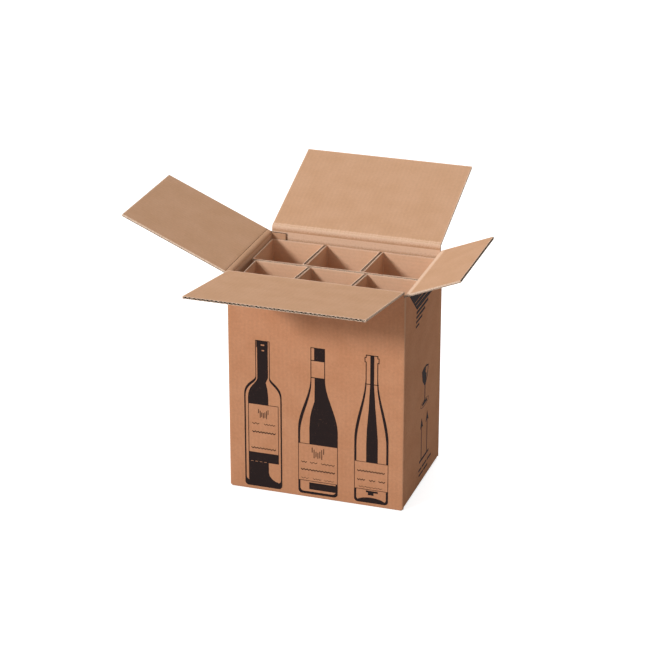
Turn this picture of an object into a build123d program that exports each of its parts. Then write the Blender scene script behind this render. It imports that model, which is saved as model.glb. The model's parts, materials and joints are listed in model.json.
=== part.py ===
"""Open shipping carton for six bottles, of fluted board, with a folded cell insert in each of its two rows.

Origin at the centre of the base, +Z up, +X to the right, the printed front faces -Y.
"""
import os
from itertools import pairwise
from math import atan2, cos, degrees, hypot, radians, sin

from build123d import *

# Carton: clear inside, and the board it is folded from
INNER_WIDTH = 305.0
INNER_DEPTH = 212.0
BOARD = 4.0
CORNER_RADIUS = 3.0

# Heights of the folds, each flap lying on the one that closes before it
SIDE_CREASE_Z = 394.0
FOLD_CLEARANCE = 0.3

# Top flaps: length from the fold, lean outwards from upright, and how far into the board the bend sinks
FRONT_LENGTH = 210.0
BACK_LENGTH = 210.0
LEFT_LENGTH = 206.0
RIGHT_LENGTH = 98.0
FRONT_LEAN = 80.8
BACK_LEAN = 68.8
LEFT_LEAN = 66.4
RIGHT_LEAN = 67.9
LONG_FLAP_INSET = 3.5
SHORT_FLAP_INSET = 0.5
SLOT_DEPTH = 3.5
CREASE_BAND = 8.0
BEND_RADIUS = 0.5
BEND_SINK = 0.55

# Board section: two liners and the wave between them
FLUTE_PITCH = 7.5
LINER = 0.5
MEDIUM = 0.45
FLUTE_FOOT = 6.2
FLUTE_CREST = 0.9
EDGE_MARGIN = 2.6
EDGE_GROOVE = 1.6
LIP = 0.4

# Bottom: long flaps outside, meeting just behind the centre line, and the side flaps on them
SEAM_GAP = 0.6
SEAM_Y = 2.0
LAYER_GAP = 0.2

# Glued joint in the back left corner
TAB_WIDTH = 26.0
TAB_THICKNESS = 3.6
SEAM_NOTCH = 2.5
SEAM_RUNOUT = 1.0

# Insert: one folded sheet to a row, with a pleat between each two cells
INSERT_BOARD = 3.0
INSERT_DROP = 15.5
INSERT_LINER = 0.5
INSERT_GROOVE_DEPTH = 2.5
INSERT_CLEARANCE = 0.4
ROW_SPACE = 1.2
MIDDLE_Y = -3.8
BACK_PLEATS = (-52.5, 49.5)
FRONT_PLEATS = (-45.5, 55.0)
BACK_PLEAT_LEAN = -4.5
FRONT_PLEAT_LEAN = -9.0
PLEAT_ROOT_GAP = 0.5
PLEAT_FRONT_GAP = 2.0
FRONT_ROW_SHIFT = 7.0

# Print: thickness of the ink, and width of its thin lines
INK = 0.2
THIN_LINE = 0.9

# Front print: where each bottle stands
BOTTLE_HEIGHT = 275.0
BOTTLE_BASE_Z = 7.0
TALL_BOTTLE_X = -94.4
ROUND_BOTTLE_X = 4.2
SLIM_BOTTLE_X = 99.4

# Bottles: share of the half width that rounds the foot
FOOT_SHARE = 0.2

# Their half width, half neck, and the two heights between which the shoulder draws in
TALL_SHAPE = (33.8, 12.8, 172, 209)
ROUND_SHAPE = (35.5, 12.8, 121, 219)
SLIM_SHAPE = (30.2, 10.9, 116, 234)

# Line of each bottle: width at its body, neck and base, and how far its inside shoulder sits lower
TALL_LINES = (2.4, 1.2, 10.5, 4)
ROUND_LINES = (3.6, 1.3, 4.6, 8)
SLIM_LINES = (3.8, 1.5, 4.0, 8)

# Bends of a square shoulder and of a sloping one, as pulls of the curve at its low and high end
SQUARE_PULLS = (1.7, 0.75)
SLOPING_PULLS = (1.0, 1.0)

# Wine of the tall bottle: its own shape, drawn like a bottle, and the height that it starts from
TALL_WINE = (27, 9.6, 166, 206)
TALL_WINE_LOW = 8

# Rectangles of the bottles, as left, right, low and high: labels, caps, bare board and lines at the neck
TALL_LABEL = (-26.8, 27.8, 64, 156.5)
TALL_CAP = (-10.8, 9.8, 262, 275)
TALL_SHINES = ((-3, 3.6, 265.6, 268.2), (-1.4, 3.2, 255.8, 258))
TALL_BAND = (-27, 27.8, 47, 64)
TALL_STITCHES = (-23, -15, -7, 1)
STITCH_LENGTH = 4.5
ROUND_LABEL = (-35.5, 35.5, 24.5, 95.5)
ROUND_FOOT = (-15.7, 34, 9, 22)
ROUND_CAP = (-6.4, 12.8, 251.5, 275)
ROUND_CAP_RING = (-12.8, 12.8, 250.5, 252)
ROUND_NECK_RING = (-12.8, 12.8, 219, 220.4)
SLIM_LABEL = (-30.2, 30.2, 24.5, 77)
SLIM_NECK_RING = (-12, 12, 221, 222.4)
SLIM_LIP = (-12.9, 12.9, 261, 270.6)
SLIM_LIP_INSIDE = (-11.5, 11.5, 262.3, 269.3)
SLIM_MARKS = ((-9, 12, 19.6, 23), (-5.6, 4.4, 14.6, 20))
SLIM_FOOT_RADII = (27, 10.2)

# Edges between wine and bare board, as outlines: right side and foot of the tall bottle, wine of the others
TALL_SHINE = ((9.6, 264), (9.6, 207), (5.4, 198), (8, 187), (9.6, 172), (9.8, 60), (40, 60), (40, 264))
TALL_WINDOW = ((9.4, 47), (9.4, 28), (11.6, 21.5), (16, 16.5), (21.5, 13), (26, 12), (40, 12), (40, 47))
ROUND_WINE = (
    (-5.4, 220), (-6, 176), (-10.8, 160), (-13.9, 145), (-15.2, 126), (-15.2, 90), (40, 90), (40, 220),
)
SLIM_STRIPE = (
    (-9, 74), (11.4, 74), (11.2, 120), (9.4, 145), (6.6, 178), (3.9, 220), (4, 275), (-2.8, 275),
    (-3, 220), (-5.2, 175), (-8.2, 138), (-9, 110),
)

# Plain scribbled lines of a label: share of its height below its top, start and end to its width, thickness
TALL_SCRIBBLES = (
    (0.40, -0.37, -0.14, 1.3), (0.40, 0.02, 0.38, 1.2), (0.57, -0.37, 0.40, 2.0), (0.90, -0.41, 0.41, 1.7),
)
ROUND_SCRIBBLES = (
    (0.50, -0.42, -0.28, 1.4), (0.50, -0.20, -0.02, 1.2), (0.50, 0.08, 0.42, 1.3), (0.70, -0.43, 0.43, 1.9),
    (0.93, -0.42, -0.24, 0.8), (0.93, -0.12, 0.08, 0.9), (0.93, 0.16, 0.40, 0.8),
)
SLIM_SCRIBBLES = (
    (0.34, -0.41, 0.40, 1.8), (0.66, -0.41, -0.18, 1.7), (0.66, -0.06, 0.12, 1.7), (0.66, 0.22, 0.41, 1.6),
    (0.91, -0.36, 0.32, 0.8),
)
SCRIBBLE_PITCH = 5.5
SCRIBBLE_SWING = 1.1

# Small hatched figure of a label: each stroke's place across and its two heights, about the figure's middle
FIGURE_STROKES = (
    (-9, 1, 9), (-6, -8, 6), (-3, -6, 3), (0, -8, 2), (3, -7, 4), (6, -9, 7), (9, 0, 9),
)
FIGURE_LINE = 1.3
TALL_FIGURE = (18, 0.95)
ROUND_FIGURE = (17, 1.15)

# Side print: common packing marks, and bars of given reach
MARKS_Y = 12.5
GLASS_Z = 149.0
ARROWS_Z = 47.0
ARROW_SPREAD = 17.0
ARROW_BASE = (-28.5, 28.5, 46, 50)
GLASS_OUTLINE = (
    (-20, 66), (-8, 70), (8, 70), (20, 66), (15, 47), (2, 34), (2, 6), (14, 4), (14, 0), (-14, 0), (-14, 4),
    (-2, 6), (-2, 34), (-15, 47),
)
GLASS_CRACK = ((4, 67), (17.5, 64.5), (13, 49), (5, 41), (9, 54), (2, 58))
GLASS_FOOT_Z = 2.0
GLASS_FOOT_RADII = (25, 6)
ARROW_OUTLINE = ((-8.5, 62), (0, 81), (8.5, 62), (1.5, 65), (1.5, 2), (-1.5, 2), (-1.5, 65))
SIDE_BARS = (
    (-58, 10, 337, 342), (-59, -8, 329, 333.5), (-60, -24, 321, 325), (-61, -42, 313, 316.5),
    (-32, -14, 31, 34.5), (-10, 16, 31, 34.5), (20, 44, 31, 34.5), (-30, -4, 21, 24.5), (0, 22, 21, 24.5),
)
HEAD_PATCH = ((-104, 389), (34, 389), (34, 345), (-56, 345))
HEAD_SLITS = ((-62, 20, 353, 354.6), (-70, 26, 361, 362.6), (-50, 30, 369, 370.6))

# Worked out from the sizes above
OUTER_WIDTH = INNER_WIDTH + 2 * BOARD
OUTER_DEPTH = INNER_DEPTH + 2 * BOARD
LONG_FLAP_WIDTH = OUTER_WIDTH - 2 * LONG_FLAP_INSET
SHORT_FLAP_WIDTH = INNER_DEPTH - 2 * SHORT_FLAP_INSET
FRONT_HINGE_Z = SIDE_CREASE_Z + BOARD + FOLD_CLEARANCE
BACK_HINGE_Z = FRONT_HINGE_Z + BOARD + FOLD_CLEARANCE
HINGE_GAP = LIP + FOLD_CLEARANCE
FLOOR_Z = 2 * BOARD + LAYER_GAP
TUBE_LOW = FLOOR_Z + BOARD
TUBE_HIGH = SIDE_CREASE_Z - SLOT_DEPTH


def add_panel(start, width, length):
    """Adds fluted board that runs along the plane's normal, its outer liner on the plane's X axis."""
    flutes = int((width - 2 * EDGE_MARGIN) / FLUTE_PITCH)
    first = -flutes * FLUTE_PITCH / 2
    troughs = [(first + i * FLUTE_PITCH, 0) for i in range(1, flutes)]
    crests = [(first + (i + 0.5) * FLUTE_PITCH, 0) for i in range(flutes)]
    foot = FLUTE_FOOT / 2
    crest = FLUTE_CREST / 2
    inside = BOARD - LINER
    with BuildSketch(start) as section:
        with Locations((0, BOARD / 2)):
            Rectangle(width, BOARD)
        with Locations(*crests):
            Polygon(
                (-foot, LINER), (foot, LINER), (crest, inside - MEDIUM), (-crest, inside - MEDIUM),
                align=None, mode=Mode.SUBTRACT,
            )
        with Locations(*troughs):
            Polygon(
                (-crest, LINER + MEDIUM), (crest, LINER + MEDIUM), (foot, inside), (-foot, inside),
                align=None, mode=Mode.SUBTRACT,
            )
        with Locations((-width / 2, BOARD / 2), (width / 2, BOARD / 2)):
            Rectangle(2 * EDGE_GROOVE, BOARD - 2 * LINER, mode=Mode.SUBTRACT)
    extrude(section.sketch, amount=length)


def add_band(start, width, length):
    """Adds the pressed board beside a fold, where the flutes are shut."""
    with BuildSketch(start) as section:
        with Locations((0, BOARD / 2)):
            Rectangle(width, BOARD)
    extrude(section.sketch, amount=length)


def add_path(path, thickness):
    """Adds a sheet seen on edge to the sketch: straight panels along the path, with round folds."""
    for (x0, y0), (x1, y1) in pairwise(path):
        with Locations(((x0 + x1) / 2, (y0 + y1) / 2)):
            Rectangle(hypot(x1 - x0, y1 - y0), thickness, rotation=degrees(atan2(y1 - y0, x1 - x0)))
    with Locations(*path[1:-1]):
        Circle(thickness / 2)


# Folded sheet of the carton: four walls, bottom flaps, glue tab and the two side flaps at the top
half_w = OUTER_WIDTH / 2
half_d = OUTER_DEPTH / 2
inner_half_w = INNER_WIDTH / 2
inner_half_d = INNER_DEPTH / 2
side_bend_z = SIDE_CREASE_Z - BEND_SINK * BOARD
bottom_seam_x = -inner_half_w + LEFT_LENGTH

with BuildPart() as carton:
    with BuildSketch(Plane.XY.offset(TUBE_LOW)) as walls:
        Rectangle(OUTER_WIDTH, OUTER_DEPTH)
        glued_corner = walls.vertices().group_by(Axis.Y)[-1].sort_by(Axis.X)[0]
        fillet([v for v in walls.vertices() if v != glued_corner], CORNER_RADIUS)
        Rectangle(INNER_WIDTH, INNER_DEPTH, mode=Mode.SUBTRACT)
        with BuildLine():
            Polyline(
                (-half_w - SEAM_RUNOUT, inner_half_d - BOARD),
                (-inner_half_w - BOARD + SEAM_NOTCH, inner_half_d - LINER),
                (-inner_half_w - BOARD + SEAM_NOTCH, inner_half_d),
                (-half_w - SEAM_RUNOUT, inner_half_d),
                close=True,
            )
        make_face(mode=Mode.SUBTRACT)
    extrude(amount=TUBE_HIGH - TUBE_LOW)
    with BuildSketch(Plane.XY.offset(TUBE_LOW)):
        with Locations((-inner_half_w + TAB_WIDTH / 2, inner_half_d - TAB_THICKNESS / 2)):
            Rectangle(TAB_WIDTH, TAB_THICKNESS)
    extrude(amount=SIDE_CREASE_Z - FOLD_CLEARANCE - TUBE_LOW)

    # Front and back wall up to their folds, with the outer liner carried up to the fold itself
    for side, hinge_z in ((-1, FRONT_HINGE_Z), (1, BACK_HINGE_Z)):
        wall_top = hinge_z - BOARD - FOLD_CLEARANCE
        with BuildSketch(Plane.XY.offset(TUBE_HIGH)):
            with Locations((0, side * (inner_half_d + BOARD / 2))):
                Rectangle(LONG_FLAP_WIDTH, BOARD)
        extrude(amount=wall_top - TUBE_HIGH)
        with BuildSketch(Plane.XY.offset(wall_top)):
            with Locations((0, side * (half_d - LIP / 2))):
                Rectangle(LONG_FLAP_WIDTH, LIP)
        extrude(amount=hinge_z - FOLD_CLEARANCE - wall_top)

    # Side walls up to their folds, the bend, and the flap that leans outwards
    for side, length, lean in ((-1, LEFT_LENGTH, LEFT_LEAN), (1, RIGHT_LENGTH, RIGHT_LEAN)):
        angle = radians(lean)
        centre = (side * (half_w + BEND_RADIUS), side_bend_z)
        turn = 90 - side * 90
        with BuildSketch(Plane.XZ):
            with BuildLine():
                low_out = (side * half_w, TUBE_HIGH)
                low_in = (side * inner_half_w, TUBE_HIGH)
                Line(low_in, low_out)
                Line(low_out, (side * half_w, side_bend_z))
                near = CenterArc(centre, BEND_RADIUS, 180 - turn, -side * lean)
                far = CenterArc(centre, BEND_RADIUS + BOARD, 180 - turn, -side * lean)
                Line(near @ 1, far @ 1)
                Line((side * inner_half_w, side_bend_z), low_in)
            make_face()
        extrude(amount=SHORT_FLAP_WIDTH / 2, both=True)
        out = Vector(side * sin(angle), 0, cos(angle))
        start = Vector(centre[0] - side * BEND_RADIUS * cos(angle), 0, centre[1] + BEND_RADIUS * sin(angle))
        band = Plane(origin=start, x_dir=(0, side, 0), z_dir=out)
        add_band(band, SHORT_FLAP_WIDTH, CREASE_BAND)
        add_panel(band.offset(CREASE_BAND), SHORT_FLAP_WIDTH, length - CREASE_BAND)

    # Bottom flaps: the long pair outside, the short pair on them
    for side in (-1, 1):
        with BuildSketch(Plane.YZ):
            with BuildLine():
                Polyline(
                    (side * half_d, TUBE_LOW),
                    (side * half_d, 0),
                    (SEAM_Y + side * SEAM_GAP / 2, 0),
                    (SEAM_Y + side * SEAM_GAP / 2, BOARD),
                    (side * inner_half_d, BOARD),
                    (side * inner_half_d, TUBE_LOW),
                    close=True,
                )
            long_fold = make_face()
            fillet(long_fold.vertices().sort_by_distance((side * half_d, 0))[0], CORNER_RADIUS)
        extrude(amount=LONG_FLAP_WIDTH / 2, both=True)
        with BuildSketch(Plane.XZ):
            with BuildLine():
                Polyline(
                    (side * half_w, TUBE_LOW),
                    (side * half_w, BOARD + LAYER_GAP),
                    (bottom_seam_x + side * SEAM_GAP / 2, BOARD + LAYER_GAP),
                    (bottom_seam_x + side * SEAM_GAP / 2, FLOOR_Z),
                    (side * inner_half_w, FLOOR_Z),
                    (side * inner_half_w, TUBE_LOW),
                    close=True,
                )
            make_face()
        extrude(amount=SHORT_FLAP_WIDTH / 2, both=True)
carton.part.label = "carton"

# Front flap, hinged on the outer liner at the top of the front wall
front_angle = radians(FRONT_LEAN)
front_fold = Plane(
    origin=(0, -half_d, FRONT_HINGE_Z),
    x_dir=(1, 0, 0),
    z_dir=(0, -sin(front_angle), cos(front_angle)),
)
with BuildPart() as front_flap:
    add_band(front_fold.offset(HINGE_GAP), LONG_FLAP_WIDTH, CREASE_BAND - HINGE_GAP)
    add_panel(front_fold.offset(CREASE_BAND), LONG_FLAP_WIDTH, FRONT_LENGTH - CREASE_BAND)
front_flap.part.label = "front_flap"

# Back flap, the same at the back wall
back_angle = radians(BACK_LEAN)
back_fold = Plane(
    origin=(0, half_d, BACK_HINGE_Z),
    x_dir=(-1, 0, 0),
    z_dir=(0, sin(back_angle), cos(back_angle)),
)
with BuildPart() as back_flap:
    add_band(back_fold.offset(HINGE_GAP), LONG_FLAP_WIDTH, CREASE_BAND - HINGE_GAP)
    add_panel(back_fold.offset(CREASE_BAND), LONG_FLAP_WIDTH, BACK_LENGTH - CREASE_BAND)
back_flap.part.label = "back_flap"

# Plan of each row's sheet, along the middle of its board
half_sheet = INSERT_BOARD / 2
left_x = -inner_half_w + INSERT_CLEARANCE + half_sheet
right_x = inner_half_w - INSERT_CLEARANCE - half_sheet
back_y = inner_half_d - TAB_THICKNESS - INSERT_CLEARANCE - half_sheet
middle_back_y = MIDDLE_Y + ROW_SPACE / 2 + half_sheet
middle_front_y = MIDDLE_Y - ROW_SPACE / 2 - half_sheet
front_y = -inner_half_d + INSERT_CLEARANCE
insert_top = FRONT_HINGE_Z - INSERT_DROP


def pleat(root_x, root_y, end_y, lean):
    """Path of a doubled cell wall: out from the row's back panel, round its front edge and back."""
    root = (INSERT_BOARD + PLEAT_ROOT_GAP) / 2
    end = (INSERT_BOARD + PLEAT_FRONT_GAP) / 2
    tip_x = root_x + lean
    return [(root_x - root, root_y), (tip_x - end, end_y), (tip_x + end, end_y), (root_x + root, root_y)]


back_pleat_end = middle_back_y + INSERT_BOARD + INSERT_CLEARANCE
back_path = [(left_x, back_pleat_end), (left_x, back_y)]
for pleat_x in BACK_PLEATS:
    back_path += pleat(pleat_x, back_y, back_pleat_end, BACK_PLEAT_LEAN)
back_path += [(right_x, back_y), (right_x, middle_back_y), (left_x, middle_back_y)]

front_pleat_end = front_y + half_sheet
front_path = [(left_x + FRONT_ROW_SHIFT, front_y), (left_x + FRONT_ROW_SHIFT, middle_front_y)]
for pleat_x in FRONT_PLEATS:
    front_path += pleat(pleat_x, middle_front_y, front_pleat_end, FRONT_PLEAT_LEAN)
front_path += [(right_x, middle_front_y), (right_x, front_y)]

# Insert of the back row: end panels, pleated back and a front panel, standing on the carton's floor
with BuildPart() as insert_back_row:
    with BuildSketch(Plane.XY.offset(FLOOR_Z)):
        add_path(back_path, INSERT_BOARD)
    extrude(amount=insert_top - FLOOR_Z)
    with BuildSketch(Plane.XY.offset(insert_top)):
        add_path(back_path, INSERT_BOARD - 2 * INSERT_LINER)
    extrude(amount=-INSERT_GROOVE_DEPTH, mode=Mode.SUBTRACT)
insert_back_row.part.label = "insert_back_row"

# Insert of the front row: end panels and pleated back, its front closed by the carton's wall
with BuildPart() as insert_front_row:
    with BuildSketch(Plane.XY.offset(FLOOR_Z)):
        add_path(front_path, INSERT_BOARD)
    extrude(amount=insert_top - FLOOR_Z)
    with BuildSketch(Plane.XY.offset(insert_top)):
        add_path(front_path, INSERT_BOARD - 2 * INSERT_LINER)
    extrude(amount=-INSERT_GROOVE_DEPTH, mode=Mode.SUBTRACT)
insert_front_row.part.label = "insert_front_row"


def bottle(half_width, half_neck, low, high, pulls, base=0, top=BOTTLE_HEIGHT, mode=Mode.ADD):
    """Adds a bottle seen from the side, upright on the origin, from its base to its top."""
    foot = FOOT_SHARE * half_width
    with BuildLine() as edge:
        Line((0, base), (half_width - foot, base))
        RadiusArc((half_width - foot, base), (half_width, base + foot), -foot)
        Line((half_width, base + foot), (half_width, low))
        Spline((half_width, low), (half_neck, high), tangents=((0, 1), (0, 1)), tangent_scalars=pulls)
        Line((half_neck, high), (half_neck, top))
        Line((half_neck, top), (0, top))
        mirror(about=Plane.YZ)
    make_face(edge.edges(), mode=mode)


def inside_line(shape, lines):
    """Shape, base and top of the space inside a bottle's line."""
    half_width, half_neck, low, high = shape
    body, neck, base, drop = lines
    narrow = (half_width - body, half_neck - neck, low - drop, high - drop)
    return narrow, {"base": base, "top": BOTTLE_HEIGHT - neck}


def block(left, right, low, high, mode=Mode.ADD):
    """Adds an upright rectangle to the sketch by its four sides."""
    with Locations(((left + right) / 2, (low + high) / 2)):
        Rectangle(right - left, high - low, mode=mode)


def scribble(start, end, middle, thickness):
    """Adds a plain zigzag line."""
    teeth = max(2, round((end - start) / SCRIBBLE_PITCH))
    places = [start + (end - start) * i / (2 * teeth) for i in range(2 * teeth + 1)]
    heights = [middle + SCRIBBLE_SWING * (-1) ** i for i in range(2 * teeth + 1)]
    upper = [(x, z + thickness / 2) for x, z in zip(places, heights)]
    lower = [(x, z - thickness / 2) for x, z in zip(places, heights)]
    Polygon(*upper, *reversed(lower), align=None)


def label(left, right, low, high, scribbles, figure=None):
    """Clears a label to bare board inside a thin line, with plain scribbles and often a hatched figure."""
    block(left, right, low, high)
    block(left + THIN_LINE, right - THIN_LINE, low + THIN_LINE, high - THIN_LINE, mode=Mode.SUBTRACT)
    middle = (left + right) / 2
    if figure:
        drop, size = figure
        for across, under, over in FIGURE_STROKES:
            place = middle + across * size
            block(
                place - FIGURE_LINE / 2, place + FIGURE_LINE / 2,
                high - drop + under * size, high - drop + over * size,
            )
    for drop, start, end, thickness in scribbles:
        reach = right - left
        scribble(middle + start * reach, middle + end * reach, high - drop * (high - low), thickness)


def tall_bottle():
    """Ink of a bottle with square shoulders: dark on the left, bare on the right."""
    inside, ends = inside_line(TALL_SHAPE, TALL_LINES)
    with BuildSketch() as ink:
        bottle(*TALL_SHAPE, SQUARE_PULLS)
        bottle(*inside, SQUARE_PULLS, **ends, mode=Mode.SUBTRACT)
        with BuildSketch(mode=Mode.PRIVATE) as wine:
            bottle(*TALL_WINE, SQUARE_PULLS, base=TALL_WINE_LOW)
            Polygon(*TALL_SHINE, align=None, mode=Mode.SUBTRACT)
            Polygon(*TALL_WINDOW, align=None, mode=Mode.SUBTRACT)
        add(wine.sketch)
        block(*TALL_BAND)
        block(*TALL_CAP)
        for shine in TALL_SHINES:
            block(*shine, mode=Mode.SUBTRACT)
        for start in TALL_STITCHES:
            block(start, start + STITCH_LENGTH, TALL_BAND[2], TALL_BAND[2] + THIN_LINE, mode=Mode.SUBTRACT)
        label(*TALL_LABEL, TALL_SCRIBBLES, TALL_FIGURE)
    return ink.sketch


def round_bottle():
    """Ink of a bottle with sloping shoulders and a capped neck: dark on the right, bare on the left."""
    inside, ends = inside_line(ROUND_SHAPE, ROUND_LINES)
    with BuildSketch() as ink:
        bottle(*ROUND_SHAPE, SLOPING_PULLS)
        with BuildSketch(mode=Mode.PRIVATE) as bare:
            bottle(*inside, SLOPING_PULLS, **ends)
            Polygon(*ROUND_WINE, align=None, mode=Mode.SUBTRACT)
            block(*ROUND_FOOT, mode=Mode.SUBTRACT)
            block(*ROUND_CAP, mode=Mode.SUBTRACT)
        add(bare.sketch, mode=Mode.SUBTRACT)
        block(*ROUND_CAP_RING)
        block(*ROUND_NECK_RING)
        label(*ROUND_LABEL, ROUND_SCRIBBLES, ROUND_FIGURE)
    return ink.sketch


def slim_bottle():
    """Ink of a long tapering bottle: one dark stripe up its middle, and a dark crescent at its foot."""
    inside, ends = inside_line(SLIM_SHAPE, SLIM_LINES)
    with BuildSketch() as ink:
        bottle(*SLIM_SHAPE, SLOPING_PULLS)
        block(*SLIM_LIP)
        bottle(*inside, SLOPING_PULLS, **ends, mode=Mode.SUBTRACT)
        block(*SLIM_LIP_INSIDE, mode=Mode.SUBTRACT)
        Polygon(*SLIM_STRIPE, align=None)
        block(*SLIM_NECK_RING)
        for mark in SLIM_MARKS:
            block(*mark)
        with BuildSketch(mode=Mode.PRIVATE) as crescent:
            Ellipse(*SLIM_FOOT_RADII)
            bottle(*SLIM_SHAPE, SLOPING_PULLS, mode=Mode.INTERSECT)
        add(crescent.sketch)
        label(*SLIM_LABEL, SLIM_SCRIBBLES)
    return ink.sketch


# Front print: three common bottle shapes side by side
front_wall = Plane(origin=(0, -half_d, BOTTLE_BASE_Z), x_dir=(1, 0, 0), z_dir=(0, -1, 0))
with BuildPart() as front_print:
    with BuildSketch(front_wall):
        with Locations((TALL_BOTTLE_X, 0)):
            add(tall_bottle())
        with Locations((ROUND_BOTTLE_X, 0)):
            add(round_bottle())
        with Locations((SLIM_BOTTLE_X, 0)):
            add(slim_bottle())
    extrude(amount=INK)
front_print.part.label = "front_print"

# Side print: the common stem glass and upright arrows, with plain bars above and below
right_wall = Plane(origin=(half_w, MARKS_Y, 0), x_dir=(0, 1, 0), z_dir=(1, 0, 0))
with BuildPart() as side_print:
    with BuildSketch(right_wall):
        with Locations((0, GLASS_Z)):
            Polygon(*GLASS_OUTLINE, align=None)
            Polygon(*GLASS_CRACK, align=None, mode=Mode.SUBTRACT)
        with BuildSketch(mode=Mode.PRIVATE) as foot_ring:
            Ellipse(*GLASS_FOOT_RADII)
            Ellipse(*(radius - THIN_LINE for radius in GLASS_FOOT_RADII), mode=Mode.SUBTRACT)
        with Locations((0, GLASS_Z + GLASS_FOOT_Z)):
            add(foot_ring.sketch)
        with Locations((-ARROW_SPREAD, ARROWS_Z), (ARROW_SPREAD, ARROWS_Z)):
            Polygon(*ARROW_OUTLINE, align=None)
        for bar in (ARROW_BASE, *SIDE_BARS):
            block(*bar)
        Polygon(*HEAD_PATCH, align=None)
        for slit in HEAD_SLITS:
            block(*slit, mode=Mode.SUBTRACT)
    extrude(amount=INK)
side_print.part.label = "side_print"

os.makedirs("parts", exist_ok=True)
for piece in (carton, front_flap, back_flap, insert_back_row, insert_front_row, front_print, side_print):
    export_step(piece.part, f"parts/{piece.part.label}.step")
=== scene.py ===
"""Looks of the open bottle shipping carton: fluted board, pressed folds, cut edges and printed ink.

Metres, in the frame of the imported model: origin at the centre of the base, +Z up, the print faces -Y.
"""
import json
from math import cos, pi, radians, sin, tan

import bpy
import numpy as np
from mathutils import Matrix, Vector


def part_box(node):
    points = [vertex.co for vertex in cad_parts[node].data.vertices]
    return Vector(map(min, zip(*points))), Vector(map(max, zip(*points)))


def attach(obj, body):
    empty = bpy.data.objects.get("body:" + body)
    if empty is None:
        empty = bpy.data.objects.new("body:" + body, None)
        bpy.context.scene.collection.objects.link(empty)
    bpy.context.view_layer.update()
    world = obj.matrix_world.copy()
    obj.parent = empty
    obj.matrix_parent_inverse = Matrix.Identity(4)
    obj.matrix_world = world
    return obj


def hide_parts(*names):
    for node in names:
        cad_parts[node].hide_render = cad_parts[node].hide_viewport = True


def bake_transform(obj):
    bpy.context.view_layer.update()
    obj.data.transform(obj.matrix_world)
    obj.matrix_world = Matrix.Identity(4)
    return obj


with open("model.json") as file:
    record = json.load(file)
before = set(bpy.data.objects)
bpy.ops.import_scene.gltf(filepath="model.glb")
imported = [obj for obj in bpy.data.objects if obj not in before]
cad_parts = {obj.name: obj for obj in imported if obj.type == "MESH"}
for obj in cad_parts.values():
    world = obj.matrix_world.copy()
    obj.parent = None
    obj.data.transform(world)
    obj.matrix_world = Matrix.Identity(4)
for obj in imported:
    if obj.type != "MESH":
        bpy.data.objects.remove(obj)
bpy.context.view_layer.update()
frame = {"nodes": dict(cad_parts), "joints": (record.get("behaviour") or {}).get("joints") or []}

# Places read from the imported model
JOINTS = {joint["name"]: joint["pos_m"] for joint in frame["joints"]}
FRONT_HINGE_Z = JOINTS["front_flap_fold"][2]
BACK_HINGE_Z = JOINTS["back_flap_fold"][2]
HALF_D = JOINTS["back_flap_fold"][1]
HALF_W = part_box("side_print")[0].x
FLAP_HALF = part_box("front_flap")[1].x
INSERT_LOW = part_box("insert_back_row")[0].z
INSERT_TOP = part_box("insert_back_row")[1].z

# Board: thickness, its two liners, and the wave between them
BOARD = 0.004
LINER = 0.0005
MEDIUM = 0.0007
FLUTE_PITCH = 0.0075
WAVE_POINTS = 12
CORE_STEP = 0.03
CORE_RECESS = 0.0013
CORE_TOP_RECESS = 0.001

# Folds of the carton at its upright corners and round its bottom, outside and inside
CORNER_RADIUS = 0.003
INNER_RADIUS = 0.0008

# Heights and lengths along the blank
FOLD_CLEARANCE = 0.0003
SIDE_CREASE_Z = FRONT_HINGE_Z - BOARD - FOLD_CLEARANCE
SLOT_DEPTH = 0.0035
TUBE_HIGH = SIDE_CREASE_Z - SLOT_DEPTH
TUBE_LOW = 0.0122
CORNER_LOW = (0.003, 0.0048)
TAB_TOP = SIDE_CREASE_Z - FOLD_CLEARANCE
TAB_WIDTH = 0.026
TAB_THICKNESS = 0.0036
SEAM_CORE_END = 0.012
SHORT_INSET = 0.0045
LONG_INSET = HALF_W - FLAP_HALF
CREASE_BAND = 0.008
STRIP_DROP = 0.0025
SEAM_Y = 0.002
SEAM_GAP = 0.0006
SHORT_FLAP_LOW = 0.0042

# Top flaps: length from the fold and lean outwards from upright
FRONT_LENGTH = 0.210
BACK_LENGTH = 0.210
LEFT_LENGTH = 0.206
RIGHT_LENGTH = 0.098
FRONT_LEAN = radians(80.8)
BACK_LEAN = radians(68.8)
LEFT_LEAN = radians(66.4)
RIGHT_LEAN = radians(67.9)
BEND_SINK = 0.55 * BOARD
CAD_BEND_RADIUS = 0.0005
BEND_RADIUS = 0.0022

# Inserts: plan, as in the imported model
INSERT_BOARD = 0.003
INSERT_CLEARANCE = 0.0004
MIDDLE_Y = -0.0038
ROW_SPACE = 0.0012
FRONT_ROW_SHIFT = 0.007
BACK_PLEATS = (-0.0525, 0.0495)
FRONT_PLEATS = (-0.0455, 0.055)
BACK_PLEAT_LEAN = -0.0045
FRONT_PLEAT_LEAN = -0.009
PLEAT_ROOT_GAP = 0.0005
PLEAT_FRONT_GAP = 0.002

# Inserts: liner of the side that shows, liner of the side in the gaps and how much lower it ends, and wave
INSERT_LINER = 0.0011
INSERT_BACKING = 0.0004
HIDDEN_DROP = 0.002
INSERT_MEDIUM = 0.0004
INSERT_PITCH = 0.0065
INSERT_WAVE_POINTS = 10
WAVE_DROP = 0.0022
WAVE_ROW = 0.02

# Inserts: round folds, and the ragged rim, with a painted highlight along its top edge
INSERT_FOLD_RADIUS = 0.002
INSERT_STEP = 0.004
FOLD_STEPS = 6
FOLD_TURN = 0.05
LOW_ROWS = 16
LOW_ROWS_END = 0.012
RIM_ROWS = (0.009, 0.006, 0.0025, 0)
RIM_BAND = 0.004
PAINTED_HIGHLIGHT_RIM = 0.0035

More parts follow.
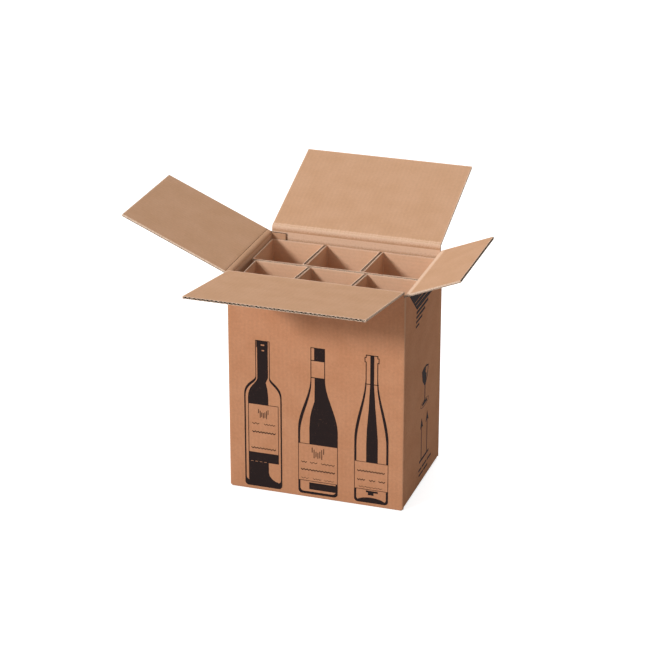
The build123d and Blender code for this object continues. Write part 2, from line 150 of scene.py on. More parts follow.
# Inserts: dents in the rim, and the waves that place them
INSERT_SEED = 11
DENT_SIZE = 0.021
DENT_START = 0.3
DENT_DEPTH = 0.0016
RIPPLE_WAVES = 5
RIPPLE_PACES = (0.6, 1.5)

# Camera of the photograph
SENSOR_WIDTH = 36
CAMERA_LENS = 131.753
CAMERA_PLACE = (1.173617, -3.560169, 1.870985)
CAMERA_YAW = radians(18.5324)
CAMERA_PITCH = radians(23.0089)
CAMERA_ROLL = radians(-0.0287)

# Material slots of every board mesh
OUTER, INNER, CUT, CORE = range(4)

# Each side of a quad: the cell beyond it, and its two corners
SIDES = (((0, -1), (0, 1)), ((1, 0), (1, 2)), ((0, 1), (2, 3)), ((-1, 0), (3, 0)))

# Decimals that tell stations apart, and the angle from which an edge is sharp
DECIMALS = 7
SHARP_ANGLE = radians(35)


def lerp(a, b, share):
    """Point or array that share of the way from a to b."""
    return a + (b - a) * share


def stations(low, high, step, edges=()):
    """Values from low to high about one step apart, with more at the given distances from both ends."""
    inner_low = low + max(edges, default=0)
    inner_high = high - max(edges, default=0)
    count = max(1, round((inner_high - inner_low) / step))
    middle = np.linspace(inner_low, inner_high, count + 1)
    extra = [low + edge for edge in edges[:-1]] + [high - edge for edge in edges[:-1]]
    return np.unique(np.concatenate([middle, [low, high], extra]).round(DECIMALS))


def ripple(run, seed, size):
    """Smooth seeded unevenness from -1 to 1 along a run, with hollows about one size across."""
    rng = np.random.default_rng(seed)
    total = np.zeros(run.shape)
    for _ in range(RIPPLE_WAVES):
        turn, phase = rng.uniform(0, 2 * pi, 2)
        pace = rng.uniform(*RIPPLE_PACES)
        total += np.sin(run * cos(turn) * 2 * pi * pace / size + phase)
    return total / RIPPLE_WAVES


class Pieces:
    """Closed shells gathered into one mesh, with blank coordinates at each vertex. Wear and painted light
    are kept as one value at each vertex.
    """

    def __init__(self):
        self.points, self.faces, self.kinds, self.blank, self.wear = [], [], [], [], []
        self.count = 0

    def shell(self, first, second, present, blank, wear, kinds):
        """Closes the space between two grids of points over the present cells; kinds end with the rim."""
        across, along = first.shape[:2]
        number = np.arange(across * along).reshape(across, along)
        cells = np.argwhere(present)
        corners = [number[cells[:, 0] + i, cells[:, 1] + j] for i, j in ((0, 0), (1, 0), (1, 1), (0, 1))]
        quads = np.stack(corners, axis=1)
        offset = across * along
        rims = []
        padded = np.pad(present, 1)
        for cell, quad in zip(cells, quads):
            for (di, dj), (a, b) in SIDES:
                if not padded[cell[0] + 1 + di, cell[1] + 1 + dj]:
                    rims.append((quad[b], quad[a], quad[a] + offset, quad[b] + offset))
        faces = np.concatenate([quads, quads[:, ::-1] + offset, np.array(rims)])
        used = np.unique(faces)
        fresh = np.full(2 * offset, -1)
        fresh[used] = np.arange(len(used)) + self.count
        both = np.concatenate([first.reshape(-1, 3), second.reshape(-1, 3)])
        self.points.append(both[used])
        self.blank.append(np.concatenate([blank.reshape(-1, 2)] * 2)[used])
        self.wear.append(np.concatenate([wear.ravel()] * 2)[used])
        self.faces.append(fresh[faces])
        sizes = (len(quads), len(quads), len(rims))
        self.kinds.append(np.repeat(kinds, sizes))
        self.count += len(used)

    def build(self, name, materials):
        """The gathered shells as one object."""
        mesh = bpy.data.meshes.new(name)
        faces = np.concatenate(self.faces)
        mesh.from_pydata(np.concatenate(self.points).tolist(), [], faces.tolist())
        mesh.polygons.foreach_set("material_index", np.concatenate(self.kinds).astype(np.int32))
        for material in materials:
            mesh.materials.append(material)
        blank = np.concatenate(self.blank)
        layer = mesh.uv_layers.new(name="blank")
        loops = np.zeros(len(mesh.loops), np.int32)
        mesh.loops.foreach_get("vertex_index", loops)
        layer.data.foreach_set("uv", blank[loops].astype(np.float32).ravel())
        wear = mesh.attributes.new("wear", "FLOAT", "POINT")
        wear.data.foreach_set("value", np.concatenate(self.wear).astype(np.float32))
        mesh.polygons.foreach_set("use_smooth", np.ones(len(mesh.polygons), bool))
        mesh.set_sharp_from_angle(angle=SHARP_ANGLE)
        mesh.update()
        piece = bpy.data.objects.new(name, mesh)
        bpy.context.scene.collection.objects.link(piece)
        return piece


def near(distance, reach):
    """Wear that fades with distance over the given reach."""
    return np.exp(-(np.asarray(distance) / reach) ** 2)


def fluted_core(pieces, at, blank_at, low, high, vs):
    """Adds the wave of paper between two liners from low to high, its crests along v."""
    across = np.linspace(low, high, round((high - low) / FLUTE_PITCH * WAVE_POINTS) + 1)
    swing = (BOARD / 2 - LINER - MEDIUM / 2) * np.cos(2 * pi * (across - low) / FLUTE_PITCH)
    middle = BOARD / 2 + swing
    grid_u, grid_v = np.meshgrid(across, vs, indexing="ij")
    depth = np.broadcast_to(middle[:, None], grid_u.shape)
    first = at(grid_u, grid_v, depth - MEDIUM / 2)
    second = at(grid_u, grid_v, depth + MEDIUM / 2)
    present = np.ones((len(across) - 1, len(vs) - 1), bool)
    wear = np.zeros(grid_u.shape)
    pieces.shell(first, second, present, blank_at(grid_u, grid_v), wear, (CORE, CORE, CUT))


def slab(pieces, at, blank_at, us, vs, low, high, kinds, wear_at=None):
    """Adds a closed slab of paper between two depths in the board."""
    grid_u, grid_v = np.meshgrid(us, vs, indexing="ij")
    first = at(grid_u, grid_v, np.full(grid_u.shape, low))
    second = at(grid_u, grid_v, np.full(grid_u.shape, high))
    present = np.ones((len(us) - 1, len(vs) - 1), bool)
    wear = wear_at(grid_u, grid_v) if wear_at else np.zeros(grid_u.shape)
    pieces.shell(first, second, present, blank_at(grid_u, grid_v), wear, kinds)


def solid_core(pieces, at, blank_at, us, vs):
    """Adds the pressed board between two liners."""
    slab(pieces, at, blank_at, us, vs, LINER, BOARD - LINER, (CORE, CORE, CORE))


def side_rims(pieces, at, blank_at, low, high, vs):
    """Adds the strip of the wave that a cut along the flutes leaves under the inner liner of both edges."""
    for us in ((low + RIM_OUT, low + RIM_IN), (high - RIM_IN, high - RIM_OUT)):
        slab(pieces, at, blank_at, np.array(us), vs, RIM_DEPTH, BOARD - LINER, (CUT, CUT, CUT))


# Walls: start in plan, direction, the way it faces, length, and how far in from its ends its flaps begin
WALLS = {
    "back": ((-HALF_W, HALF_D), (1, 0), (0, 1), 2 * HALF_W, LONG_INSET),
    "right": ((HALF_W, HALF_D), (0, -1), (1, 0), 2 * HALF_D, SHORT_INSET),
    "front": ((HALF_W, -HALF_D), (-1, 0), (0, -1), 2 * HALF_W, LONG_INSET),
    "left": ((-HALF_W, -HALF_D), (0, 1), (-1, 0), 2 * HALF_D, SHORT_INSET),
}

# Steps of the meshes: across and up the walls, beside edges, round corners, and up to and round a bend
WALL_STEP = 0.0075
ROW_STEP = 0.012
EDGE_STEPS = (0.0015, 0.004)
ARC_STEPS = 5
STRAIGHT_ROWS = 2
BEND_ROWS = 8
SAME_PLACE = 1e-6

# Score line beside the left fold
LEFT_SCORE = 0.005
SCORE_HALF = 0.0011
SCORE_DEPTH = 0.0006
SCORE_STEPS = SCORE_HALF * np.array((-2, -1, 0, 1, 2))

# Ragged top of the upright corners, above the tube
NUB_SEED = 5
NUB_LOW = 0.0018
NUB_HIGH = 0.0033

# Wear: upright folds, more at their top, and cut edges. Painted light: how much lighter the inside is made
# near the top folds, which lifts the shade on the inner walls and paints a highlight along the creases, and
# where this ends on the walls
FOLD_WEAR = 0.55
FOLD_WEAR_TOP = 0.45
FOLD_WEAR_REACH = 0.07
EDGE_WEAR = 0.8
EDGE_WEAR_REACH = 0.0025
PAINTED_LIGHT = 0.9
PAINTED_LIGHT_BELOW_TOP = 0.012
PAINTED_HIGHLIGHT_FOLD = 0.007
BEND_END = 0.4035
LEFT_BEND_START = 0.3915

# Strip of the wave along a cut: from and to how far in from the edge, and its depth in the board
RIM_OUT = 0.0001
RIM_IN = 0.0016
RIM_DEPTH = 0.32 * BOARD


def plan_point(wall, along, outward):
    """Plan point of a wall at a distance along it and outwards from its outer face."""
    start, way, out, _, _ = WALLS[wall]
    return (
        start[0] + way[0] * along + out[0] * outward,
        start[1] + way[1] * along + out[1] * outward,
    )


def wall_columns():
    """Stations round the walls from the glued corner: wall and distance along it, or points at a corner."""
    columns = []
    run = 0.0
    for wall, (_, way, out, length, inset) in WALLS.items():
        first = 0.0 if wall == "back" else CORNER_RADIUS
        last = length - CORNER_RADIUS - (BOARD if wall == "left" else 0)
        panel = stations(inset, min(last, length - inset), WALL_STEP, EDGE_STEPS)
        for along in np.unique(np.concatenate([[first], panel, [last]]).round(DECIMALS)):
            columns.append({"wall": wall, "along": along, "run": run + along, "fold": 0.0})
        # The corner after this wall, whose inside is a tighter fold
        radius = CORNER_RADIUS
        outer_centre = np.array(plan_point(wall, last, -radius))
        inner_start = np.array(plan_point(wall, last + radius - BOARD - INNER_RADIUS, -BOARD - INNER_RADIUS))
        for step in range(1, ARC_STEPS):
            turn = pi / 2 * step / ARC_STEPS
            heading = np.array(out) * cos(turn) + np.array(way) * sin(turn)
            columns.append({
                "wall": "corner",
                "outer": outer_centre + radius * heading,
                "inner": inner_start + INNER_RADIUS * heading,
                "run": run + last + radius * turn,
                "fold": 1.0,
            })
        run += length
    # The glue tab, pressed against the inside of the back wall
    tab_y = HALF_D - BOARD
    for x in stations(-HALF_W + CORNER_RADIUS, -HALF_W + BOARD + TAB_WIDTH, WALL_STEP):
        inner_x = max(x, -HALF_W + BOARD + INNER_RADIUS)
        columns.append({
            "wall": "tab",
            "outer": np.array((x, tab_y)),
            "inner": np.array((inner_x, tab_y - TAB_THICKNESS)),
            "run": run + x + HALF_W,
            "fold": 0.0,
        })
    return columns


def upright_rows(top):
    """Plain rows of a wall above the slots."""
    return [(0, z, -BOARD, z, z) for z in np.linspace(TUBE_HIGH, top, STRAIGHT_ROWS + 1)[1:]]


def side_profile(lean, length, score=None):
    """Rows of a side wall above the slots: up to the bend, round it, and out along the flap."""
    shift = (BEND_RADIUS - CAD_BEND_RADIUS) * tan(lean / 2)
    centre_z = SIDE_CREASE_Z - BEND_SINK - shift
    straight = length - shift
    rows = upright_rows(centre_z)
    bend_run = (BEND_RADIUS + BOARD) * lean
    for step in range(1, BEND_ROWS + 1):
        turn = lean * step / BEND_ROWS
        points = []
        for radius in (BEND_RADIUS, BEND_RADIUS + BOARD):
            points += [BEND_RADIUS - radius * cos(turn), centre_z + radius * sin(turn)]
        rows.append((*points, centre_z + bend_run * step / BEND_ROWS))
    out_d, out_z, in_d, in_z, start = rows[-1]
    fars = stations(0, straight, WALL_STEP, EDGE_STEPS)[1:]
    if score:
        fars = np.unique(np.concatenate([fars[np.abs(fars - score) > 2 * SCORE_HALF], score + SCORE_STEPS]))
    for far in fars:
        reach = (far * sin(lean), far * cos(lean))
        dent = SCORE_DEPTH * near(far - score, SCORE_HALF) if score else 0
        rows.append((
            out_d + reach[0], out_z + reach[1],
            in_d + reach[0] + dent * cos(lean), in_z + reach[1] - dent * sin(lean), start + far,
        ))
    return rows


def bottom_profile(low, reach):
    """Rows of a wall below the tube, from the last one up: in along the bottom, round the fold, and up."""
    outer, inner = [], []
    inner_centre = BOARD + INNER_RADIUS
    for distance in (reach, (reach + inner_centre) / 2):
        outer.append((-distance, low))
        inner.append((-distance, low + BOARD))
    for step in range(ARC_STEPS + 1):
        turn = pi / 2 * (1 - step / ARC_STEPS)
        outer.append((-CORNER_RADIUS * (1 - cos(turn)), low + CORNER_RADIUS * (1 - sin(turn))))
        inner.append((
            -inner_centre + INNER_RADIUS * cos(turn),
            low + inner_centre - INNER_RADIUS * sin(turn),
        ))
    return [
        (*out, *inn, low - abs(out[0]))
        for out, inn in zip(outer, inner)
    ]


WALL_TOPS = {"front": FRONT_HINGE_Z, "back": BACK_HINGE_Z}
COMMON_ROWS = [(0, z, -BOARD, z, z) for z in stations(TUBE_LOW, TUBE_HIGH, ROW_STEP, EDGE_STEPS)]
SEAM_X = -HALF_W + BOARD + LEFT_LENGTH


def wall_rows():
    """Rows below and above the tube for each wall, as outer and inner points and the run up the blank."""
    lows, highs = {}, {}
    for wall, hinge_z in WALL_TOPS.items():
        side = -1 if wall == "front" else 1
        lows[wall] = bottom_profile(0, HALF_D - side * SEAM_Y - SEAM_GAP / 2)
        highs[wall] = upright_rows(hinge_z - BOARD - FOLD_CLEARANCE - STRIP_DROP)
    for wall, side, lean, length, score in (
        ("left", -1, LEFT_LEAN, LEFT_LENGTH, LEFT_SCORE), ("right", 1, RIGHT_LEAN, RIGHT_LENGTH, None),
    ):
        lows[wall] = bottom_profile(SHORT_FLAP_LOW, HALF_W - side * SEAM_X - SEAM_GAP / 2)
        highs[wall] = side_profile(lean, length, score)
    lows["corner"], highs["corner"] = [], []
    lows["tab"], highs["tab"] = [], [(0, TAB_TOP, -BOARD, TAB_TOP, TAB_TOP)]
    return lows, highs


def carton_shells(pieces):
    """Adds both liners of walls, side flaps and bottom flaps as two shells folded from one blank."""
    columns = wall_columns()
    lows, highs = wall_rows()
    below = max(len(rows) for rows in lows.values())
    above = max(len(rows) for rows in highs.values())
    middle = len(COMMON_ROWS)
    shape = (len(columns), below + middle + above)
    outer = np.zeros((*shape, 3))
    inner = np.zeros((*shape, 3))
    blank = np.zeros((*shape, 2))
    wear = np.zeros(shape)
    inside = np.zeros(shape, bool)
    painted_light = np.zeros(shape)
    nubs = TUBE_HIGH + np.random.default_rng(NUB_SEED).uniform(NUB_LOW, NUB_HIGH, len(columns))
    for i, column in enumerate(columns):
        wall = column["wall"]
        panel = wall in WALLS
        if panel:
            _, _, _, length, inset = WALLS[wall]
            reaches = inset - SAME_PLACE < column["along"] < length - inset + SAME_PLACE
        else:
            reaches = wall == "tab"
        low_rows = lows[wall] if reaches else [(0, CORNER_LOW[0], -BOARD, CORNER_LOW[1], CORNER_LOW[0])]
        high_rows = highs[wall] if reaches else [(0, nubs[i], -BOARD, nubs[i], nubs[i])]
        rows = low_rows + COMMON_ROWS + high_rows
        start = below - len(low_rows)
        for j, (out_d, out_z, in_d, in_z, run) in enumerate(rows, start):
            if panel:
                outer[i, j] = (*plan_point(wall, column["along"], out_d), out_z)
                inner[i, j] = (*plan_point(wall, column["along"], in_d), in_z)
            else:
                outer[i, j] = (*column["outer"], out_z)
                inner[i, j] = (*column["inner"], in_z)
            blank[i, j] = (column["run"], run)
            inside[i, j] = True
            fold_wear = FOLD_WEAR + FOLD_WEAR_TOP * near(TUBE_HIGH - run, FOLD_WEAR_REACH)
            wear[i, j] = column["fold"] * fold_wear
            if panel and reaches:
                edge = min(column["along"], length - column["along"])
                rim = min(edge - inset, rows[-1][4] - run)
                if run > TUBE_HIGH and wall in ("left", "right"):
                    wear[i, j] = EDGE_WEAR * near(rim, EDGE_WEAR_REACH)
                # Painted light: the inner liner of the back and side walls is made lighter from just below
                # the slots to the top fold, on the left wall only up to where its bend starts, to lift the
                # shade on these inner walls
                painted_light_end = LEFT_BEND_START if wall == "left" else BEND_END
                if wall != "front" and TUBE_HIGH - PAINTED_LIGHT_BELOW_TOP < run < painted_light_end:
                    painted_light[i, j] = PAINTED_LIGHT
    present = inside[:-1, :-1] & inside[1:, :-1] & inside[1:, 1:] & inside[:-1, 1:]
    for low, high, layer_wear_and_painted_light, kinds in (
        (0, LINER / BOARD, wear, (OUTER, CORE, CUT)),
        (1 - LINER / BOARD, 1, np.maximum(wear, painted_light), (CORE, INNER, CUT)),
    ):
        pieces.shell(lerp(outer, inner, low), lerp(outer, inner, high), present, blank, layer_wear_and_painted_light, kinds)


def wall_map(wall, rows):
    """Mapping of a wall's board: distance along it, run up the blank and depth, to a point."""
    runs = np.array([row[4] for row in rows])
    table = np.array([row[:4] for row in rows], float)
    start, way, out, _, _ = WALLS[wall]

    def at(along, run, depth):
        out_d, out_z, in_d, in_z = (np.interp(run, runs, table[:, k]) for k in range(4))
        share = depth / BOARD
        outward = lerp(out_d, in_d, share)
        height = lerp(out_z, in_z, share)
        return np.stack([
            start[0] + way[0] * along + out[0] * outward,
            start[1] + way[1] * along + out[1] * outward,
            height,
        ], axis=-1)

    return at


def carton_cores(pieces):
    """Adds the paper between the liners where the carton's cut edges show it."""
    _, highs = wall_rows()
    runs_before = dict(zip(WALLS, np.cumsum([0] + [length for _, _, _, length, _ in WALLS.values()])))
    for wall, (_, _, _, length, inset) in WALLS.items():
        rows = COMMON_ROWS + highs[wall]
        at = wall_map(wall, rows)
        top = rows[-1][4]

        def blank_at(u, v, wall=wall):
            return np.stack([u + runs_before[wall], v], axis=-1)

        inner_us = stations(inset + CORE_RECESS, length - inset - CORE_RECESS, CORE_STEP)
        if wall in ("left", "right"):
            bend_vs = np.array([row[4] for row in highs[wall][STRAIGHT_ROWS - 1:STRAIGHT_ROWS + BEND_ROWS]])
            panel_start = bend_vs[-1] + CREASE_BAND
            core_vs = np.concatenate([[TUBE_HIGH + CORE_RECESS], bend_vs, [panel_start]])
            wave_vs = stations(panel_start, top, CORE_STEP)
            solid_core(pieces, at, blank_at, inner_us, core_vs)
            fluted_core(pieces, at, blank_at, inset + RIM_IN, length - inset - RIM_IN, wave_vs)
            side_rims(pieces, at, blank_at, inset, length - inset, np.append(bend_vs, wave_vs))
        else:
            core_vs = np.array([TUBE_HIGH + CORE_RECESS, top - CORE_TOP_RECESS])
            solid_core(pieces, at, blank_at, inner_us, core_vs)
    back = wall_map("back", COMMON_ROWS)
    seam_us = np.array([CORE_RECESS, SEAM_CORE_END])
    seam_vs = stations(TUBE_LOW + CORE_RECESS, TUBE_HIGH - CORE_RECESS, CORE_STEP)
    solid_core(pieces, back, lambda u, v: np.stack([u, v], axis=-1), seam_us, seam_vs)


# Long top flaps: side of the carton they hang on, height of the hinge, lean and length
LONG_FLAPS = {
    "front_flap": (-1, FRONT_HINGE_Z, FRONT_LEAN, FRONT_LENGTH),
    "back_flap": (1, BACK_HINGE_Z, BACK_LEAN, BACK_LENGTH),
}

# Reach of the outer and of the inner strip of a fold out along its flap
OUTER_STRIP = 0.008
INNER_STRIP = 0.002

# Fold strips: radius of the outer one, first station out, pull of the inner curve, points, and wear
FOLD_RADIUS = 0.0003
OUTER_STATION = 0.003
FOLD_PULL = 1.25
ARC_POINTS = 7
CURVE_POINTS = 11
OUTER_FOLD_WEAR = 0.35
OUTER_FOLD_REACH = 0.003
SHARP_TURN = 0.001

# Shift of the flaps' blank coordinates, so that their paper doesn't repeat the walls'
FLAP_BLANK = 3


def flap_map(side, hinge_z, lean):
    """Mapping of a long flap's board: place across it, run out from its fold and depth, to a point."""
    run_way = np.array((0, side * sin(lean), cos(lean)))
    depth_way = np.array((0, -side * cos(lean), sin(lean)))
    origin = np.array((0, side * HALF_D, hinge_z))

    def at(across, run, depth):
        point = origin + run[..., None] * run_way + depth[..., None] * depth_way
        point = point + across[..., None] * np.array((1, 0, 0))
        return point

    return at


def long_flap(name):
    """Front or back top flap: two liners with the wave between them, open along its edges."""
    side, hinge_z, lean, length = LONG_FLAPS[name]
    pieces = Pieces()
    at = flap_map(side, hinge_z, lean)

    def blank_at(u, v):
        return np.stack([u * -side + FLAP_BLANK, v + hinge_z], axis=-1)

    def wear_at(u, v):
        rim = np.minimum(FLAP_HALF - np.abs(u), length - v)
        return EDGE_WEAR * near(rim, EDGE_WEAR_REACH)

    # The inner liner is made lighter beside the fold: a painted highlight of the crease, besides the rubbing
    # at the cut edges
    def inner_wear_and_highlight_at(u, v):
        return np.maximum(wear_at(u, v), PAINTED_LIGHT * near(v, PAINTED_HIGHLIGHT_FOLD))

    us = stations(-FLAP_HALF, FLAP_HALF, WALL_STEP, EDGE_STEPS)
    outer_vs = stations(OUTER_STRIP, length, WALL_STEP, EDGE_STEPS)
    inner_vs = stations(INNER_STRIP, length, WALL_STEP, EDGE_STEPS)
    # The inside of the outer liner has the light colour of a cut edge: painted light in the lower gaps of
    # the flutes, so that the dark wave stands out before it along the edge
    slab(pieces, at, blank_at, us, outer_vs, 0, LINER, (OUTER, CUT, CUT), wear_at)
    slab(pieces, at, blank_at, us, inner_vs, BOARD - LINER, BOARD, (CORE, INNER, CUT), inner_wear_and_highlight_at)
    core_us = stations(-FLAP_HALF + CORE_RECESS, FLAP_HALF - CORE_RECESS, CORE_STEP)
    wave_vs = stations(CREASE_BAND, length, CORE_STEP)
    solid_core(pieces, at, blank_at, core_us, np.array([INNER_STRIP, CREASE_BAND]))
    fluted_core(pieces, at, blank_at, -FLAP_HALF + RIM_IN, FLAP_HALF - RIM_IN, wave_vs)
    side_rims(pieces, at, blank_at, -FLAP_HALF, FLAP_HALF, np.append(INNER_STRIP, wave_vs))
    return pieces


def fold_paths(lean):
    """Outer and inner liner across a long fold, as inward and upward distances from the hinge."""
    way = np.array((-sin(lean), cos(lean)))
    out = np.array((cos(lean), sin(lean)))
    low = -BOARD - FOLD_CLEARANCE - STRIP_DROP
    centre = np.array((-FOLD_RADIUS, -FOLD_RADIUS * tan(lean / 2)))
    turns = np.linspace(0, lean, ARC_POINTS)
    paths = {}
    for key, depth in (("outer", 0), ("outer_back", LINER)):
        radius = FOLD_RADIUS + depth
        arc = [centre + radius * np.array((cos(turn), sin(turn))) for turn in turns]
        ends = [arc[-1] + way * far for far in (OUTER_STATION, OUTER_STRIP - FOLD_RADIUS * tan(lean / 2))]
        paths[key] = np.array([(depth, low), (depth, low / 2), *arc, *ends])
    for key, depth in (("inner", BOARD), ("inner_back", BOARD - LINER)):
        start = np.array((depth, -BOARD - FOLD_CLEARANCE))
        end = depth * out + INNER_STRIP * way
        handle = FOLD_PULL * depth
        up = start + np.array((0, handle))
        back = end - way * handle
        shares = np.linspace(0, 1, CURVE_POINTS)[:, None]
        curve = (
            (1 - shares) ** 3 * start + 3 * shares * (1 - shares) ** 2 * up
            + 3 * shares ** 2 * (1 - shares) * back + shares ** 3 * end
        )
        paths[key] = np.array([(depth, low), *curve])
    return paths, way, out


def fold_strips(name):
    """The two liners of a long fold, bent round at the flap's lean."""
    side, hinge_z, lean, _ = LONG_FLAPS[name]
    paths, way, out = fold_paths(lean)
    us = stations(-FLAP_HALF, FLAP_HALF, WALL_STEP, EDGE_STEPS)

    def place(path):
        grid = np.zeros((len(us), len(path), 3))
        grid[..., 0] = us[:, None]
        grid[..., 1] = side * (HALF_D - path[:, 0])
        grid[..., 2] = hinge_z + path[:, 1]
        return grid

    def spot(point):
        return (0, side * (HALF_D - point[0]), hinge_z + point[1])

    made = []
    # The outer strip is rubbed lighter along the fold; the inner strip has a painted highlight along its
    # crease
    for layer, kinds, level, reach in (
        ("outer", (OUTER, CORE, CUT), OUTER_FOLD_WEAR, OUTER_FOLD_REACH),
        ("inner", (INNER, CORE, CUT), PAINTED_LIGHT, PAINTED_HIGHLIGHT_FOLD),
    ):
        path = paths[layer]
        pieces = Pieces()
        run = np.concatenate([[0], np.cumsum(np.linalg.norm(np.diff(path, axis=0), axis=1))])
        run += hinge_z - BOARD - FOLD_CLEARANCE - STRIP_DROP
        blank = np.stack(np.meshgrid(us * -side + FLAP_BLANK, run, indexing="ij"), axis=-1)
        wear = np.broadcast_to(level * near(run - run[len(run) // 2], reach), (len(us), len(run)))
        present = np.ones((len(us) - 1, len(path) - 1), bool)
        pieces.shell(place(path), place(paths[layer + "_back"]), present, blank, wear, kinds)
        made.append((layer, pieces))
    limits = {
        "outer": (spot((0, -SHARP_TURN)), spot(way * SHARP_TURN)),
        "inner": (spot((BOARD, -BOARD - FOLD_CLEARANCE)), spot(BOARD * out + INNER_STRIP * way)),
    }
    return made, limits


def rounded_path(corners, radius, step):
    """Points and left-hand normals along a polyline whose corners are rounded, with the run to each."""
    corners = [np.array(corner) for corner in corners]
    points, normals = [], []

    def straight(a, b, skip_first):
        length = np.linalg.norm(b - a)
        heading = (b - a) / length
        count = max(1, round(length / step))
        for k in range(1 if skip_first else 0, count + 1):
            points.append(a + heading * length * k / count)
            normals.append(np.array((-heading[1], heading[0])))

    here = corners[0]
    for before, corner, after in zip(corners, corners[1:], corners[2:]):
        way_in = (corner - before) / np.linalg.norm(corner - before)
        way_out = (after - corner) / np.linalg.norm(after - corner)
        turn = np.arctan2(way_in[0] * way_out[1] - way_in[1] * way_out[0], way_in @ way_out)
        back_off = radius * tan(abs(turn) / 2)
        straight(here, corner - way_in * back_off, bool(points))
        left = np.array((-way_in[1], way_in[0])) * np.sign(turn)
        centre = corner - way_in * back_off + left * radius
        for k in range(1, FOLD_STEPS + 1):
            angle = turn * k / FOLD_STEPS
            spin = np.array(((cos(angle), -sin(angle)), (sin(angle), cos(angle))))
            points.append(centre - spin @ left * radius)
            heading = spin @ way_in
            normals.append(np.array((-heading[1], heading[0])))
        here = corner + way_out * back_off
    straight(here, corners[-1], True)
    points, normals = np.array(points), np.array(normals)
    run = np.concatenate([[0], np.cumsum(np.linalg.norm(np.diff(points, axis=0), axis=1))])
    return points, normals, run


def pleat(root_x, root_y, end_y, lean):
    """Corners of a doubled cell wall: out from the row's back panel, round its front edge and back."""
    root = (INSERT_BOARD + PLEAT_ROOT_GAP) / 2
    end = (INSERT_BOARD + PLEAT_FRONT_GAP) / 2
    tip_x = root_x + lean
    return [(root_x - root, root_y), (tip_x - end, end_y), (tip_x + end, end_y), (root_x + root, root_y)]


def insert_paths():
    """Plan of each row's sheet along the middle of its board."""
    half = INSERT_BOARD / 2
    inner_w = HALF_W - BOARD
    inner_d = HALF_D - BOARD
    left = -inner_w + INSERT_CLEARANCE + half
    right = -left
    back = inner_d - TAB_THICKNESS - INSERT_CLEARANCE - half
    middle_back = MIDDLE_Y + ROW_SPACE / 2 + half
    middle_front = MIDDLE_Y - ROW_SPACE / 2 - half
    front = -inner_d + INSERT_CLEARANCE
    pleat_end = middle_back + INSERT_BOARD + INSERT_CLEARANCE
    back_row = [(left, pleat_end), (left, back)]
    for x in BACK_PLEATS:
        back_row += pleat(x, back, pleat_end, BACK_PLEAT_LEAN)
    back_row += [(right, back), (right, middle_back), (left, middle_back)]
    front_row = [(left + FRONT_ROW_SHIFT, front), (left + FRONT_ROW_SHIFT, middle_front)]
    for x in FRONT_PLEATS:
        front_row += pleat(x, middle_front, front + half, FRONT_PLEAT_LEAN)
    front_row += [(right, middle_front), (right, front)]
    return {"insert_back_row": back_row, "insert_front_row": front_row}


def upright(points, normals, offset, heights):
    """Grid of points above a path that is moved sideways by an offset."""
    grid = np.zeros((len(points), np.shape(heights)[-1], 3))
    grid[..., :2] = (points + normals * np.reshape(offset, (-1, 1)))[:, None]
    grid[..., 2] = heights
    return grid


def sheet_liners(pieces, corners, seed):
    """Adds the two liners of a row's sheet, with a ragged cut top, and a painted highlight at the folds and
    along the top.
    """
    half = INSERT_BOARD / 2
    low_rows = np.linspace(INSERT_LOW, INSERT_TOP - LOW_ROWS_END, LOW_ROWS)
    heights = np.concatenate([low_rows, INSERT_TOP - np.array(RIM_ROWS)])
    points, normals, run = rounded_path(corners, INSERT_FOLD_RADIUS, INSERT_STEP)
    folds = np.abs(np.diff(normals, axis=0)).sum(axis=1) > FOLD_TURN
    at_fold = np.concatenate([[False], folds]) | np.concatenate([folds, [False]])
    present = np.ones((len(run) - 1, len(heights) - 1), bool)
    for layer, (low, high, drop, kinds) in enumerate((
        (half, half - INSERT_BACKING, HIDDEN_DROP, (INNER, CORE, CUT)),
        (-half + INSERT_LINER, -half, 0, (CORE, INNER, CUT)),
    )):
        dents = np.clip(ripple(run, seed + layer, DENT_SIZE), DENT_START, 1) - DENT_START
        lowering = dents * DENT_DEPTH + drop
        top = heights - (heights > INSERT_TOP - RIM_BAND) * lowering[:, None]
        first = upright(points, normals, low, top)
        second = upright(points, normals, high, top)
        blank = np.stack([np.broadcast_to(run[:, None], top.shape), top], axis=-1)
        # Painted highlight: the liners are made lighter at each fold and just below the top edge
        wear = PAINTED_LIGHT * np.maximum(at_fold[:, None], near(INSERT_TOP - top, PAINTED_HIGHLIGHT_RIM))
        pieces.shell(first, second, present, blank, wear, kinds)


def sheet_wave(pieces, corners):
    """Adds the wave between the liners of a row's sheet, which ends just below their top."""
    points, normals, run = rounded_path(corners, INSERT_FOLD_RADIUS, INSERT_PITCH / INSERT_WAVE_POINTS)
    swing = (INSERT_BOARD - INSERT_LINER - INSERT_BACKING - INSERT_MEDIUM) / 2
    middle = (INSERT_LINER - INSERT_BACKING) / 2 + swing * np.cos(2 * pi * run / INSERT_PITCH)
    heights = np.array((INSERT_LOW, INSERT_TOP - WAVE_ROW, INSERT_TOP - WAVE_DROP))
    first = upright(points, normals, middle + INSERT_MEDIUM / 2, heights)
    second = upright(points, normals, middle - INSERT_MEDIUM / 2, heights)
    blank = np.stack(np.meshgrid(run, heights, indexing="ij"), axis=-1)
    present = np.ones((len(run) - 1, len(heights) - 1), bool)
    pieces.shell(first, second, present, blank, np.zeros(blank.shape[:2]), (CORE, CORE, CUT))


